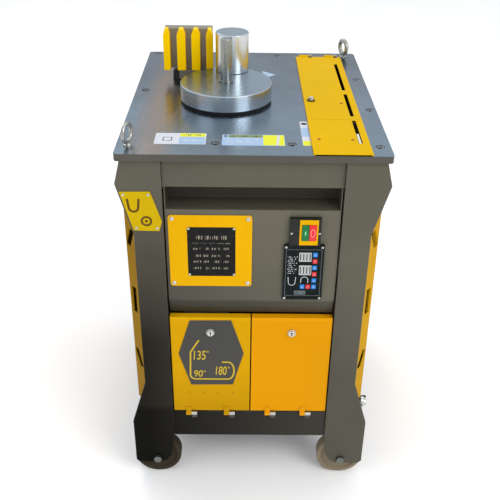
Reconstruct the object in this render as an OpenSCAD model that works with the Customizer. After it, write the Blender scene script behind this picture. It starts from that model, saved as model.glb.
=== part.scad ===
// Floor-standing rebar bender: a turntable with a centre pin and a roller bends
// the bar against a toothed fence. Millimetres, +Z up, front towards -Y.
// The origin is on the floor under the middle of the table.

/* [Table] */
// Width of the table plate, left to right
table_w = 540; // [530:1:560]
// Depth of the table plate, front to back
table_d = 670; // [660:1:690]
// Thickness of the table plate
table_t = 15; // [12:0.5:18]
// Height of the working surface above the floor
table_top = 870; // [868:1:880]
// Radius of the table's corners
corner_r = 8; // [4:1:14]

/* [Frame] */
// Thickness of the leg plates, beams and rails
plate_t = 6; // [5:0.5:7]
// How far the leg plates sit behind the table's front and rear edges
leg_inset = 7; // [7:0.5:9]
// Half distance between the inner edges of two legs
leg_inner_x = 181; // [179:0.5:183]
// Half width over the upper hips of the legs
hip_x = 273; // [268:1:275]
// Half width over the waists of the legs
waist_x = 242; // [238:1:246]
// Half width over the feet
foot_x = 277; // [272:1:280]
// Depth of the folded return on a leg's inner edge
return_d = 20; // [12:1:20]
// Height of the lower edge of the bottom beams
base_z = 128; // [122:1:130]
// Height of the top edge of the bottom beams
base_top = 205; // [195:1:206]
// Height of the lower edge of the top beams
top_beam_z = 795; // [790:1:800]

/* [Wheels] */
// Diameter of a wheel
wheel_d = 112; // [108:1:116]
// Width of a wheel
wheel_w = 30; // [24:1:30]
// Half distance between the wheels' centres, left to right
wheel_x = 224; // [222:1:226]
// Diameter of an axle bolt
axle_d = 12; // [10:0.5:14]

/* [Turntable] */
// Turntable centre, left of the middle
disc_x = -60; // [-62:1:-58]
// Turntable centre, in front of the middle
disc_y = -28; // [-30:1:-26]
// Diameter of the turntable
disc_d = 204; // [200:1:208]
// Thickness of the turntable
disc_t = 35; // [32:1:38]
// Height of the gap that the seal ring fills
disc_gap = 7; // [7:0.5:8]
// Diameter of the centre pin
pin_d = 24; // [22:1:26]
// Height of the centre pin above the turntable
pin_h = 96; // [80:1:110]
// Diameter of the bending roller
roller_d = 76; // [72:1:78]
// Height of the bending roller
roller_h = 88; // [70:1:100]
// Distance from the centre pin to the roller, left to right
roller_dx = 12; // [10:1:13]
// Distance from the centre pin to the roller, front to back
roller_dy = 84; // [82:1:84]

/* [Fence] */
// Width over the four jaws
fence_w = 115; // [110:1:116]
// Height of the fence block
fence_h = 96; // [80:1:100]
// Place of the fence's middle, left of the middle
fence_x = -150.5; // [-152:0.5:-150]
// Place of the front faces of the jaws
fence_y = 80; // [80:1:84]
// Clear height under the fence block
fence_lift = 31; // [28:1:34]
// Depth of the jaws in front of the block
jaw_d = 22; // [18:1:26]

/* [Covers] */
// Width of the sheet covers on the table
cover_w = 115; // [110:1:118]
// Left edge of the sheet covers
cover_x = 114; // [112:1:116]
// Rear edge of the lid
cover_back = 290; // [286:1:292]
// Line between the lid and the front cover
cover_split = -154; // [-158:1:-150]
// Thickness of folded sheet
sheet_t = 2; // [1.5:0.5:2.5]
// Gap between the table and the cover sheets
cover_lift = 2; // [1.5:0.5:3]

/* [Front] */
// Top edge of the control fascia
fascia_top = 745; // [740:1:750]
// Bottom edge of the flat of the control fascia
fascia_bottom = 531; // [526:1:536]
// Top edge of the doors
door_top = 480; // [474:1:481]
// Bottom edge of the doors
door_bottom = 210; // [209:1:212]
// Depth of the folded door pans
door_d = 16; // [12:1:18]
// Gap between the two doors
door_gap = 3; // [2:0.5:4]

/* [Side panels] */
// Half width over the side panels
panel_x = 264; // [262:1:266]
// Bottom edge of the side panels
panel_bottom = 231; // [228:1:236]
// Top edge of the side panels
panel_top = 731; // [726:1:731]

/* [Drive] */
// Module of the final gear pair
final_module = 3; // [3]
// Teeth of the main gear
main_teeth = 60; // [60]
// Teeth of the final pinion
final_teeth = 15; // [15]
// Module of the first gear pair
first_module = 2.5; // [2.5]
// Teeth of the intermediate gear
inter_teeth = 56; // [56]
// Teeth of the input pinion
input_teeth = 14; // [14]
// Distance from the input shaft to the motor shaft
belt_centres = 122.5; // [118:0.5:124]
// Groove radius of the motor pulley
motor_groove_r = 17; // [16:0.5:18]
// Groove radius of the input pulley
input_groove_r = 51; // [48:0.5:52]

/* [Hidden] */
$fn = 64;
run = 0.05;          // radial clearance of a running fit
gap = 0.3;           // clearance between pieces that do not touch
top = table_top;
under = table_top - table_t;
front_y = -(table_d/2 - leg_inset);      // outer face of the front legs
back_leg_y = front_y + plate_t;
beam_y = back_leg_y + 1;                 // outer face of the front beams
link_y = back_leg_y + return_d;          // outer face of the cross links
rail_x = waist_x + 8;                    // inner face of the side rails
rail_z = panel_bottom - 0.5;            // top edge of the lower side rails
side_bolt = [268, -292, 216];            // earthing bolt on the right side rail
wheel_r = wheel_d/2;
wheel_y = back_leg_y + 6;                // near face of a front wheel
lug_y = wheel_y + wheel_w + 4;           // near face of the inner axle lug
foot_z = wheel_r - 14;
disc_z = top + disc_gap;
disc_top = disc_z + disc_t;
spigot_l = 27;
fence_z = top + fence_lift;
jaw_tip = 13;                            // height of the jaws' tapered tips
sheet_z = top + cover_lift;
fascia_y = back_leg_y;                   // outer face of the fascia
shelf_y = -262;                          // back of the hand recess
lip_y = fascia_y + 16;
lip_z = door_top + 3;
door_y = -324;                           // outer face of the doors
hinge_y = -327;
hinge_z = 204;
hinge_xs = [[-141, -52], [44, 127]];     // hinge knuckles of each door
lock_x = 90;
lock_z = 440;
switch_x = 107;
switch_z = 699.5;
pad_x = 107;
pad_z = 600;
pad_w = 84;
pad_h = 135;
key_col_x = 130.5;
key_row_z = 566;
key_xz = [for (k = [5:-1:0]) [key_col_x, key_row_z + 15.8*k],
          [106.3, key_row_z], [118.4, key_row_z]];
key_w = 9.5;
key_h = 10;
inter_r = final_module*(main_teeth + final_teeth)/2;
input_r = first_module*(inter_teeth + input_teeth)/2;
inter_y = disc_y + inter_r;
input_x = disc_x + input_r;
motor_x = input_x + belt_centres;
gear_hi = 800;                           // underside of the final gears
gear_lo = 765;                           // underside of the first gears
case_z = 742;
case_t = 8;
pulley_z = 655;
pulley_t = 28;
belt_t = 8;
motor_top = 640;
motor_len = 200;
motor_r = 60;
lid_lock_x = 130;
lid_lock_y = -40;
lid_hinge_y = cover_back + 3;
lid_hinge_z = top + cover_lift + sheet_t;
lid_knuckles = [cover_x + 8, cover_x + 73];   // left ends of the lid's knuckles
knuckle_l = 24;
shaft_r = 28;
bearing_r = 45;
gland_x = -120;
gland_z = 250;
bolt_xy = [[-248, 30], [-246, 318], [-76, -278], [76, -280], [248, -288],
           [256, -85], [68, 308], [-76, 308], [252, 120]];
eye_xyr = [[-246, -293, 62], [238, 305, 4]];   // place and turn of each eye

anthracite = "#6b655b";
yellow = "#f0b000";
steel = "#9aa0a6";
dark = "#26282a";

// --- helpers -------------------------------------------------------------

// A box between two corners
module block(lo, hi) translate(lo) cube(hi - lo);

// A cylinder along +Y from a point
module rod_y(p, r, l) translate(p) rotate([-90, 0, 0]) cylinder(h = l, r = r);

// A cylinder along +X from a point
module rod_x(p, r, l) translate(p) rotate([0, 90, 0]) cylinder(h = l, r = r);

// A cylinder along +Z from a point
module rod_z(p, r, l) translate(p) cylinder(h = l, r = r);

// Points of an arc
function arc(c, r, a0, a1, n) =
  [for (i = [0:n]) c + r*[cos(a0 + (a1 - a0)*i/n), sin(a0 + (a1 - a0)*i/n)]];

// An X-Z outline made solid from y to y + t
module upright(points, y, t)
  translate([0, y + t, 0]) rotate([90, 0, 0]) linear_extrude(t) polygon(points);

// A plate with rounded vertical corners
module rounded_plate(lo, hi, r) union() {
  block([lo[0] + r, lo[1], lo[2]], [hi[0] - r, hi[1], hi[2]]);
  block([lo[0], lo[1] + r, lo[2]], [hi[0], hi[1] - r, hi[2]]);
  for (x = [lo[0] + r, hi[0] - r], y = [lo[1] + r, hi[1] - r])
    rod_z([x, y, lo[2]], r, hi[2] - lo[2]);
}

// Involute function, in degrees
function involute(a) = tan(a)*180/PI - a;

// Half width of a tooth at a radius, in degrees
function half_tooth(n, m, r) =
  let (rb = n*m/2*cos(20))
  90/n - 0.12/(n*m/2)*180/PI + involute(20) - (r > rb ? involute(acos(rb/r)) : 0);

// Outline of one spur gear
function gear_outline(n, m) =
  let (rp = n*m/2, ra = rp + 0.8*m, rf = rp - 1.15*m,
       rs = [rf, rp - 0.4*m, rp, rp + 0.4*m, ra])
  [for (i = [0:n-1]) each concat(
    [for (r = rs) let (a = 360*i/n - half_tooth(n, m, r)) r*[cos(a), sin(a)]],
    [for (k = [4:-1:0]) let (r = rs[k], a = 360*i/n + half_tooth(n, m, r))
      r*[cos(a), sin(a)]])];

module spur(n, m, t, turn) rotate(turn) linear_extrude(t) polygon(gear_outline(n, m));

// --- table and frame -----------------------------------------------------

module table_plate() color("#7c8896") difference() {
  rounded_plate([-table_w/2, -table_d/2, under], [table_w/2, table_d/2, top], corner_r);
  rod_z([disc_x, disc_y, under - 1], bearing_r + run, table_t + 2);
  block([cover_x + 4, -140, under - 1], [222, 268, top + 1]);
  block([198, -290, under - 1], [222, cover_split - 8, top + 1]);
  for (p = bolt_xy) {
    rod_z([p[0], p[1], under - 1], 5.3, table_t + 2);
    rod_z([p[0], p[1], top - 7], 9.3, 8);
  }
  for (p = eye_xyr) rod_z([p[0], p[1], under - 1], 6.3, table_t + 2);
}

// Outline of the right-hand leg plate
leg_outline = concat(
  [[leg_inner_x, under], [260, under], [hip_x, under - 52], [257, under - 111],
   [waist_x, under - 163], [waist_x, 296], [foot_x, 177], [foot_x, foot_z + 8],
   [foot_x - 8, foot_z]],
  arc([wheel_x, foot_z + 36], 36, 270, 180, 8),
  [[leg_inner_x, base_z - 2]]);

// Front right leg; the others are its mirror images
module leg() color(anthracite) difference() {
  union() {
    upright(leg_outline, front_y, plate_t);
    block([leg_inner_x, back_leg_y - 1, base_z], [leg_inner_x + 3, link_y, under]);
  }
  rod_y([wheel_x, front_y - 1, wheel_r], axle_d/2 + run, plate_t + 2);
}
module front_right_leg() leg();
module front_left_leg() mirror([1, 0, 0]) leg();
module rear_legs() mirror([0, 1, 0]) {
  leg();
  mirror([1, 0, 0]) leg();
}

// Half of a welded ring: one end's beam, its flange and the cross link behind it
module ring_end(z0, z1, flange_z) {
  block([-leg_inner_x + gap, beam_y, z0], [leg_inner_x - gap, beam_y + plate_t, z1]);
  block([-leg_inner_x + gap, beam_y, flange_z],
        [leg_inner_x - gap, link_y + plate_t, flange_z + 3]);
  block([-rail_x - 1, link_y, z0], [rail_x + 1, link_y + plate_t, z1]);
}
module side_rail(z0, z1)
  block([rail_x, back_leg_y, z0], [rail_x + plate_t, -back_leg_y, z1]);

module top_frame() color(anthracite) union() {
  ring_end(top_beam_z, under, under - 3);
  mirror([0, 1, 0]) ring_end(top_beam_z, under, under - 3);
  side_rail(panel_top + 0.5, under);
  mirror([1, 0, 0]) side_rail(panel_top + 0.5, under);
}

// Lug that carries the inner end of a wheel axle
module axle_lug() difference() {
  block([206, lug_y, foot_z], [rail_x + 1, lug_y + plate_t, base_z + 30]);
  rod_y([wheel_x, lug_y - 1, wheel_r], axle_d/2 + run, plate_t + 2);
}
module bottom_frame() color(anthracite) union() {
  ring_end(base_z, base_top, base_z);
  mirror([0, 1, 0]) ring_end(base_z, base_top, base_z);
  for (sx = [0, 1], sy = [0, 1]) mirror([sx, 0, 0]) mirror([0, sy, 0]) axle_lug();
  side_rail(base_z, rail_z);
  difference() {
    block([rail_x + 1, side_bolt[1], side_bolt[2] - 16],
          [side_bolt[0] + 10, side_bolt[1] + 4, side_bolt[2] + 12]);
    rod_y([side_bolt[0], side_bolt[1] - 1, side_bolt[2]], 5 + run, 6);
  }
  mirror([1, 0, 0]) side_rail(base_z, rail_z);
}

module base_tray() color(anthracite) difference() {
  block([-rail_x + gap, link_y + plate_t + gap, base_z],
        [rail_x - gap, -link_y - plate_t - gap, base_z + 3]);
  for (sx = [-1, 1], sy = [-1, 1])
    translate([sx*228, sy*(lug_y + plate_t/2), base_z + 1])
      cube([46, plate_t + 2*gap, 6], center = true);
}

// --- panels --------------------------------------------------------------

// Shelf, front, a lip that leans back, and end plates that close the recess
module control_fascia() color(anthracite) difference() {
  union() {
    translate([-leg_inner_x + 3, 0, 0]) rotate([90, 0, 90])
      linear_extrude(2*leg_inner_x - 6) polygon([
        [fascia_y, fascia_bottom], [fascia_y, fascia_top],
        [shelf_y - sheet_t, fascia_top], [shelf_y - sheet_t, top_beam_z + 40],
        [shelf_y, top_beam_z + 40], [shelf_y, fascia_top - sheet_t],
        [fascia_y + sheet_t, fascia_top - sheet_t], [fascia_y + sheet_t, fascia_bottom],
        [lip_y + sheet_t, lip_z], [lip_y, lip_z]]);
    for (s = [0, 1]) mirror([s, 0, 0])
      block([leg_inner_x - 5, fascia_y, fascia_top - sheet_t],
            [leg_inner_x - 3, shelf_y, top_beam_z - gap]);
  }
  block([switch_x - 28, fascia_y - 1, switch_z - 27],
        [switch_x + 28, fascia_y + 4, switch_z + 27]);
  block([pad_x - 36, fascia_y - 1, pad_z - 56], [pad_x + 36, fascia_y + 4, pad_z + 56]);
}

// Section of a side panel, folded back at both ends
panel_section = [
  [waist_x + 1, back_leg_y + gap], [panel_x, -296], [panel_x, 296],
  [waist_x + 1, -back_leg_y - gap], [waist_x + 1, -back_leg_y - 4],
  [panel_x - sheet_t, 294], [panel_x - sheet_t, -294],
  [waist_x + 1, back_leg_y + 4]];

// A slot through the folded corner of a side panel
module corner_slot(z, l, lean)
  translate([waist_x + 12, back_leg_y + 14, z]) rotate([lean, 0, 0])
    cube([40, 14, l], center = true);

module side_panel() color(yellow) difference() {
  translate([0, 0, panel_bottom]) linear_extrude(panel_top - panel_bottom)
    polygon(panel_section);
  for (sy = [0, 1]) mirror([0, sy, 0]) {
    corner_slot(672, 46, 18);
    corner_slot(516, 66, 0);
    corner_slot(356, 46, -18);
  }
  for (y = [-150, 0, 150], z = [360, 600])
    translate([panel_x, y, z]) rotate([y == 0 ? 0 : 30*sign(y)*(z > 480 ? 1 : -1), 0, 0])
      cube([20, 14, 90], center = true);
}
module right_side_panel() side_panel();
module left_side_panel() mirror([1, 0, 0]) side_panel();

module rear_panel() color(yellow) difference() {
  block([-leg_inner_x + 5, 316, 212], [leg_inner_x - 5, 316 + sheet_t, 788]);
  for (x = [-90, 0, 90], k = [0:6])
    block([x - 32, 310, 560 + 28*k], [x + 32, 320, 568 + 28*k]);
  rod_y([gland_x, 300, gland_z], 11 + gap, 30);
}

// --- doors ---------------------------------------------------------------

// A folded door pan between two edges, with its hinge knuckles
module door(x0, x1, hinges) color(yellow) difference() {
  union() {
    difference() {
      block([x0, door_y, door_bottom], [x1, door_y + door_d, door_top]);
      block([x0 + sheet_t, door_y + sheet_t, door_bottom + sheet_t],
            [x1 - sheet_t, door_y + door_d + 1, door_top - sheet_t]);
    }
    for (x = hinges) {
      rod_x([x - 9, hinge_y, hinge_z], 5, 12);
      block([x - 9, hinge_y, hinge_z + 1], [x + 3, door_y + sheet_t, door_bottom + 12]);
    }
  }
  for (x = hinges) rod_x([x - 10, hinge_y, hinge_z], 2.5 + run, 14);
  rod_y([lock_x*sign(x0 + x1), door_y - 1, lock_z], 9 + gap, 6);
}
module left_door() door(-leg_inner_x + 3, -door_gap/2, hinge_xs[0]);
module right_door() door(door_gap/2, leg_inner_x - 3, hinge_xs[1]);

// Cam lock: head, barrel and a short cam behind the sheet
module door_lock(x) color("silver") union() {
  rod_y([x, door_y - 6, lock_z], 9, 6 + door_d - 2);
  rod_y([x, door_y - 3, lock_z], 11.5, 2.8);
  block([x - 6, door_y + 9, lock_z], [x + 6, door_y + 12, lock_z + 26]);
}
module left_door_lock() door_lock(-lock_x);
module right_door_lock() door_lock(lock_x);

// Pins with their leaves on the bottom beam
module door_hinge_pins() color("silver")
  for (pair = hinge_xs, x = pair) union() {
    rod_x([x - 9, hinge_y, hinge_z], 2.5, 24);
    rod_x([x + 3.5, hinge_y, hinge_z], 4.5, 13);
    block([x + 4, hinge_y, hinge_z - 14], [x + 16, beam_y, hinge_z]);
  }

// Hexagonal plate on the left door, cut away round the lock
hexagon = [[-135, 472], [-44, 473], [-16, 382], [-40, 291], [-136, 290], [-162, 380]];
module hexagon_plate() color("#4c4c4a") difference() {
  upright(hexagon, door_y - 1.5, 1.4);
  rod_y([-lock_x, door_y - 3, lock_z], 12.5, 6);
}

// --- controls ------------------------------------------------------------

module info_plate() color(yellow) difference() {
  translate([0, fascia_y - gap, 0]) rotate([90, 0, 0])
    rounded_plate([-172, 563, 0], [-1, 733, 1.7], 6);
  for (x = [-164, -9], z = [571, 725]) rod_y([x, fascia_y - 5, z], 2.3, 6);
}

badge = [[-265, 787], [-204, 788], [-183, 721], [-189, 699], [-241, 700]];
module corner_badge() color(yellow) upright(badge, front_y - 1.6, 1.6);

module switch_box() color(dark) difference() {
  union() {
    block([switch_x - 32, fascia_y - 9, switch_z - 31.5],
          [switch_x + 32, fascia_y, switch_z + 31.5]);
    block([switch_x - 27, fascia_y - 1, switch_z - 26],
          [switch_x + 27, fascia_y + 38, switch_z + 26]);
  }
  block([switch_x - 8, fascia_y - 10, switch_z - 19],
        [switch_x + 23, fascia_y + 6, switch_z + 19]);
}
module switch_faceplate() color(yellow) difference() {
  block([switch_x - 12, fascia_y - 11, switch_z - 29],
        [switch_x + 26, fascia_y - 9, switch_z + 29]);
  for (x = [switch_x - 7.5, switch_x + 7.5])
    block([x, fascia_y - 12, switch_z - 18.5], [x + 15, fascia_y, switch_z + 18.5]);
}
module push_button(x, c) color(c) union() {
  block([x + gap, fascia_y - 12.6, switch_z - 18], [x + 15 - gap, fascia_y - 3, switch_z + 18]);
}
module start_button() push_button(switch_x - 7.5, "green");
module stop_button() push_button(switch_x + 7.5, "red");

module control_pad() color(dark) difference() {
  union() {
    block([pad_x - pad_w/2, fascia_y - 6, pad_z - pad_h/2],
          [pad_x + pad_w/2, fascia_y, pad_z + pad_h/2]);
    block([pad_x - 35, fascia_y - 1, pad_z - 55], [pad_x + 35, fascia_y + 26, pad_z + 55]);
  }
  for (p = key_xz)
    block([p[0] - key_w/2 - gap, fascia_y - 7, p[1] - key_h/2 - gap],
          [p[0] + key_w/2 + gap, fascia_y - 3, p[1] + key_h/2 + gap]);
}
module key(i) color(i % 2 == 1 ? "red" : "dodgerblue") {
  p = key_xz[i];
  block([p[0] - key_w/2, fascia_y - 7.5, p[1] - key_h/2],
        [p[0] + key_w/2, fascia_y - 4.2, p[1] + key_h/2]);
}

// --- turntable -----------------------------------------------------------

module bending_disc() color(steel) difference() {
  translate([disc_x, disc_y, disc_z]) rotate_extrude($fn = 128)
    polygon([[0, 0], [disc_d/2, 0], [disc_d/2, disc_t - 1.5],
             [disc_d/2 - 1.5, disc_t], [0, disc_t]]);
  rod_z([disc_x, disc_y, disc_top - spigot_l], pin_d/2 + run, spigot_l + 1);
  rod_z([disc_x + roller_dx, disc_y + roller_dy, disc_top - spigot_l],
        pin_d/2 + run, spigot_l + 1);
}
module seal_ring() color("black") difference() {
  rod_z([disc_x, disc_y, top], disc_d/2 - 2, disc_gap - gap);
  rod_z([disc_x, disc_y, top - 1], 64, disc_gap + 2);
}
module centre_pin() color(steel) translate([disc_x, disc_y, disc_top]) rotate_extrude()
  polygon([[0, -spigot_l + 1], [pin_d/2, -spigot_l + 1], [pin_d/2, 0.05], [16, 0.05],
           [16, 5], [pin_d/2, 5], [pin_d/2, pin_h - 2], [pin_d/2 - 2, pin_h], [0, pin_h]]);
module bending_roller() color(steel)
  translate([disc_x + roller_dx, disc_y + roller_dy, disc_top]) rotate_extrude()
    polygon([[0, -spigot_l + 1], [pin_d/2, -spigot_l + 1], [pin_d/2, gap],
             [roller_d/2 - 1, gap], [roller_d/2, 1.3], [roller_d/2, roller_h - 2],
             [roller_d/2 - 2, roller_h], [0, roller_h]]);

// --- fence ---------------------------------------------------------------

foot_half = 23;       // half width of the fence's foot
module fence_base() color(steel) difference() {
  union() {
    block([fence_x - 40, 112, top], [fence_x + 40, 250, top + 8]);
    for (s = [-1, 1])
      block([fence_x + s*(foot_half + 8.5) - 8, 112, top + 8],
            [fence_x + s*(foot_half + 8.5) + 8, 250, top + 20]);
  }
  for (s = [-1, 1], y = [126, 236])
    rod_z([fence_x + s*(foot_half + 8.5), y, top - 1], 4.3, 30);
}
module fence_block() color("#6f6f70") union() {
  block([fence_x - fence_w/2 + 2, fence_y + jaw_d, fence_z],
        [fence_x + fence_w/2 - 2, fence_y + jaw_d + 28, fence_z + fence_h - 3]);
  block([fence_x - foot_half, fence_y + 6, top + 9], [fence_x + foot_half, 200, fence_z]);
}

// Upright yellow jaws whose tips taper
jaw_edges = [[0, 15], [31.5, 51], [65, 85], [99, 115]];
module fence_jaws() color(yellow) for (e = jaw_edges) {
  x0 = fence_x - fence_w/2 + e[0];
  x1 = fence_x - fence_w/2 + e[1];
  tip = (x1 - x0)*0.28;
  upright([[x0, fence_z], [x0, fence_z + fence_h - jaw_tip],
           [x0 + tip, fence_z + fence_h], [x1 - tip, fence_z + fence_h],
           [x1, fence_z + fence_h - jaw_tip], [x1, fence_z]], fence_y, jaw_d);
}

// --- covers on the table -------------------------------------------------

// A flat cover with lips on its long edges
module cover_sheet(y0, y1) union() {
  block([cover_x, y0, sheet_z], [cover_x + cover_w, y1, sheet_z + sheet_t]);
  for (x = [cover_x, cover_x + cover_w - 3])
    block([x, y0, top + 0.2], [x + 3, y1, sheet_z + sheet_t]);
}
module slot_line(y0, y1)
  block([cover_x + 93, y0, top - 1], [cover_x + 101, y1, top + 12]);

module top_cover_lid() color(yellow) difference() {
  union() {
    cover_sheet(cover_split + 1, cover_back);
    for (x = lid_knuckles) {
      rod_x([x, lid_hinge_y, lid_hinge_z], 3.8, knuckle_l);
      block([x, cover_back - 4, sheet_z], [x + knuckle_l, lid_hinge_y, lid_hinge_z]);
    }
  }
  rod_x([cover_x, lid_hinge_y, lid_hinge_z], 2 + run, cover_w);
  for (x = lid_knuckles)
    block([x + knuckle_l, cover_back - 7, top], [x + knuckle_l + 11, cover_back + 1, top + 9]);
  slot_line(31, 231);
  slot_line(-135, 6);
  rod_z([lid_lock_x, lid_lock_y, top - 1], 9 + gap, 12);
}
module lid_lock() color("silver") union() {
  rod_z([lid_lock_x, lid_lock_y, sheet_z - 8], 6, 12);
  rod_z([lid_lock_x, lid_lock_y, sheet_z], 9, sheet_t + 4);
  block([lid_lock_x, lid_lock_y - 5, sheet_z - 8], [lid_lock_x + 22, lid_lock_y + 5, sheet_z - 5]);
}
module top_cover_front() color(yellow) difference() {
  cover_sheet(-table_d/2 + 1, cover_split - 0.5);
  slot_line(-281, -158);
}

// Eye bolts for lifting the machine
eye_r = 14;
eye_outer_r = 22;
module lifting_eyes() color("silver") for (p = eye_xyr)
  translate([p[0], p[1], top]) rotate(p[2]) union() {
    rod_z([0, 0, -table_t], 6, table_t + 4);
    rod_z([0, 0, 0], 11, 4);
    difference() {
      union() {
        translate([0, 0, 26]) rotate([90, 0, 0]) rotate_extrude()
          polygon([[eye_r, -3], [eye_r + 1, -4], [eye_outer_r - 1, -4], [eye_outer_r, -3],
                   [eye_outer_r, 3], [eye_outer_r - 1, 4], [eye_r + 1, 4], [eye_r, 3]]);
        rod_z([0, 0, 3], 6, 7);
      }
      rod_y([0, -10, 26], eye_r, 20);
    }
  }

// --- running gear --------------------------------------------------------

// Front right wheel; the others are its mirror images
module wheel() color("#b9a48c") translate([wheel_x, wheel_y, wheel_r]) rotate([-90, 0, 0])
  rotate_extrude($fn = 96) {
    w = wheel_w;
    polygon([[axle_d/2 + run, -1], [15, -1], [15, 4], [wheel_r - 12, 4], [wheel_r - 10, 0],
             [wheel_r - 2, 0], [wheel_r, 2], [wheel_r, w - 2], [wheel_r - 2, w],
             [wheel_r - 10, w], [wheel_r - 12, w - 4], [15, w - 4], [15, w + 1],
             [axle_d/2 + run, w + 1]]);
  }
module front_right_wheel() wheel();
module front_left_wheel() mirror([1, 0, 0]) wheel();
module rear_right_wheel() mirror([0, 1, 0]) wheel();
module rear_left_wheel() mirror([1, 0, 0]) mirror([0, 1, 0]) wheel();

module axle_bolt() union() {
  rod_y([wheel_x, front_y, wheel_r], axle_d/2, lug_y + plate_t + 14 - front_y);
  translate([wheel_x, front_y, wheel_r]) rotate([90, 0, 0]) cylinder(h = 7, r = 10.4, $fn = 6);
  translate([wheel_x, lug_y + plate_t + 10, wheel_r]) rotate([90, 0, 0])
    cylinder(h = 10, r = 10.4, $fn = 6);
}
module wheel_axles() color("silver")
  for (sx = [0, 1], sy = [0, 1]) mirror([sx, 0, 0]) mirror([0, sy, 0]) axle_bolt();

// Countersunk table bolts, plate screws, lid hinge pins and the side rail's hex bolt
module fasteners() color("silver") {
  for (p = bolt_xy) union() {
    rod_z([p[0], p[1], under + 0.5], 5, table_t - 4);
    rod_z([p[0], p[1], top - 6.8], 9, 6);
  }
  for (s = [-1, 1], y = [126, 236]) union() {
    rod_z([fence_x + s*(foot_half + 8.5), y, top + 1], 4, 22);
    rod_z([fence_x + s*(foot_half + 8.5), y, top + 20], 6.5, 4);
  }
  for (x = lid_knuckles) union() {
    rod_x([x, lid_hinge_y, lid_hinge_z], 2, knuckle_l + 9);
    block([x + knuckle_l + 1, lid_hinge_y - 3, top], [x + knuckle_l + 9, lid_hinge_y + 4, top + 8]);
  }
  for (x = [-164, -9], z = [571, 725]) union() {
    rod_y([x, fascia_y - 2, z], 2, 1.8);
    rod_y([x, fascia_y - 4, z], 4.5, 2);
  }
  for (x = [-257, -208], z = [781])
    rod_y([x, front_y - 3.2, z], 3, 1.6);
  for (x = [-235, -193], z = [706])
    rod_y([x, front_y - 3.2, z], 3, 1.6);
  for (x = [pad_x - pad_w/2 + 4.5, pad_x + pad_w/2 - 4.5],
       z = [pad_z - pad_h/2 + 4.5, pad_z + pad_h/2 - 4.5])
    rod_y([x, fascia_y - 8, z], 3, 2);
  for (x = [switch_x - 28, switch_x + 29])
    rod_y([x, fascia_y - 11, switch_z - 2], 2.6, 2);
  translate(side_bolt) rotate([90, 0, 0]) union() {
    cylinder(h = 3, r = 12);
    translate([0, 0, 3]) cylinder(h = 10, r = 11.5, $fn = 6);
    translate([0, 0, -12]) cylinder(h = 12, r = 5);
  }
}

// --- drive ---------------------------------------------------------------

module main_shaft() color(steel) union() {
  rod_z([disc_x, disc_y, case_z + 2], shaft_r, disc_z - case_z - 2);
  rod_z([disc_x, disc_y, top + 1], 58, disc_gap - 1);
}
module main_gear() color(steel) translate([disc_x, disc_y, gear_hi]) difference() {
  spur(main_teeth, final_module, 20, 90);
  rod_z([0, 0, -1], shaft_r + run, 30);
}

// Ring bearings in the table's bore and in the floor of the gear case
module bearing(z, t) difference() {
  rod_z([disc_x, disc_y, z], bearing_r, t);
  rod_z([disc_x, disc_y, z - 1], shaft_r + run, t + 2);
}
module main_bearings() color("silver") {
  bearing(under + 1, table_t - 2);
  bearing(case_z, 14);
}

case_lo = [disc_x - 108, disc_y - 108];
case_hi = [input_x + 36, inter_y + 87];
module gearbox_housing() color("#4a5560") difference() {
  union() {
    difference() {
      block([case_lo[0], case_lo[1], case_z], [case_hi[0], case_hi[1], under]);
      block([case_lo[0] + case_t, case_lo[1] + case_t, case_z + case_t],
            [case_hi[0] - case_t, case_hi[1] - case_t, under + 1]);
    }
    block([case_hi[0] - 20, inter_y - 65, case_z], [motor_x + 65, inter_y + 65, case_z + case_t]);
    rod_z([disc_x, disc_y, case_z], bearing_r + 9, 16);
    rod_z([disc_x, inter_y, case_z], 22, 16);
    rod_z([input_x, inter_y, case_z], 22, 16);
  }
  rod_z([disc_x, disc_y, case_z - 1], bearing_r + run, 20);
  rod_z([disc_x, inter_y, case_z - 1], 12 + run, 20);
  rod_z([input_x, inter_y, case_z - 1], 12 + run, 20);
}
module intermediate_gear() color(steel) translate([disc_x, inter_y, 0]) union() {
  rod_z([0, 0, case_z + 2], 12, 106);
  translate([0, 0, gear_hi - 2])
    spur(final_teeth, final_module, 24, 270 + 180/final_teeth);
  translate([0, 0, gear_lo]) spur(inter_teeth, first_module, 18, 0);
}

// A pulley with one groove
module pulley(groove_r) rotate_extrude()
  polygon([[0, 0], [groove_r + 9, 0], [groove_r + 9, 6], [groove_r, 9],
           [groove_r, pulley_t - 9], [groove_r + 9, pulley_t - 6],
           [groove_r + 9, pulley_t], [0, pulley_t]]);
module input_shaft() color(steel) translate([input_x, inter_y, 0]) union() {
  rod_z([0, 0, pulley_z - 6], 12, 190);
  translate([0, 0, gear_lo - 2])
    spur(input_teeth, first_module, 22, 180 + 180/input_teeth);
  translate([0, 0, pulley_z]) pulley(input_groove_r);
}

// Outline round two pulleys, touching both circles
module belt_outline(extra) {
  r1 = input_groove_r + extra;
  r2 = motor_groove_r + extra;
  a = acos((r1 - r2)/belt_centres);
  union() {
    circle(r1);
    translate([belt_centres, 0]) circle(r2);
    polygon([r1*[cos(a), sin(a)], [belt_centres, 0] + r2*[cos(a), sin(a)],
             [belt_centres, 0] + r2*[cos(a), -sin(a)], r1*[cos(a), -sin(a)]]);
  }
}
module drive_belt() color("black")
  translate([input_x, inter_y, pulley_z + 9.5]) linear_extrude(pulley_t - 19) difference() {
    belt_outline(0.4 + belt_t);
    belt_outline(0.4);
  }

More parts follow.
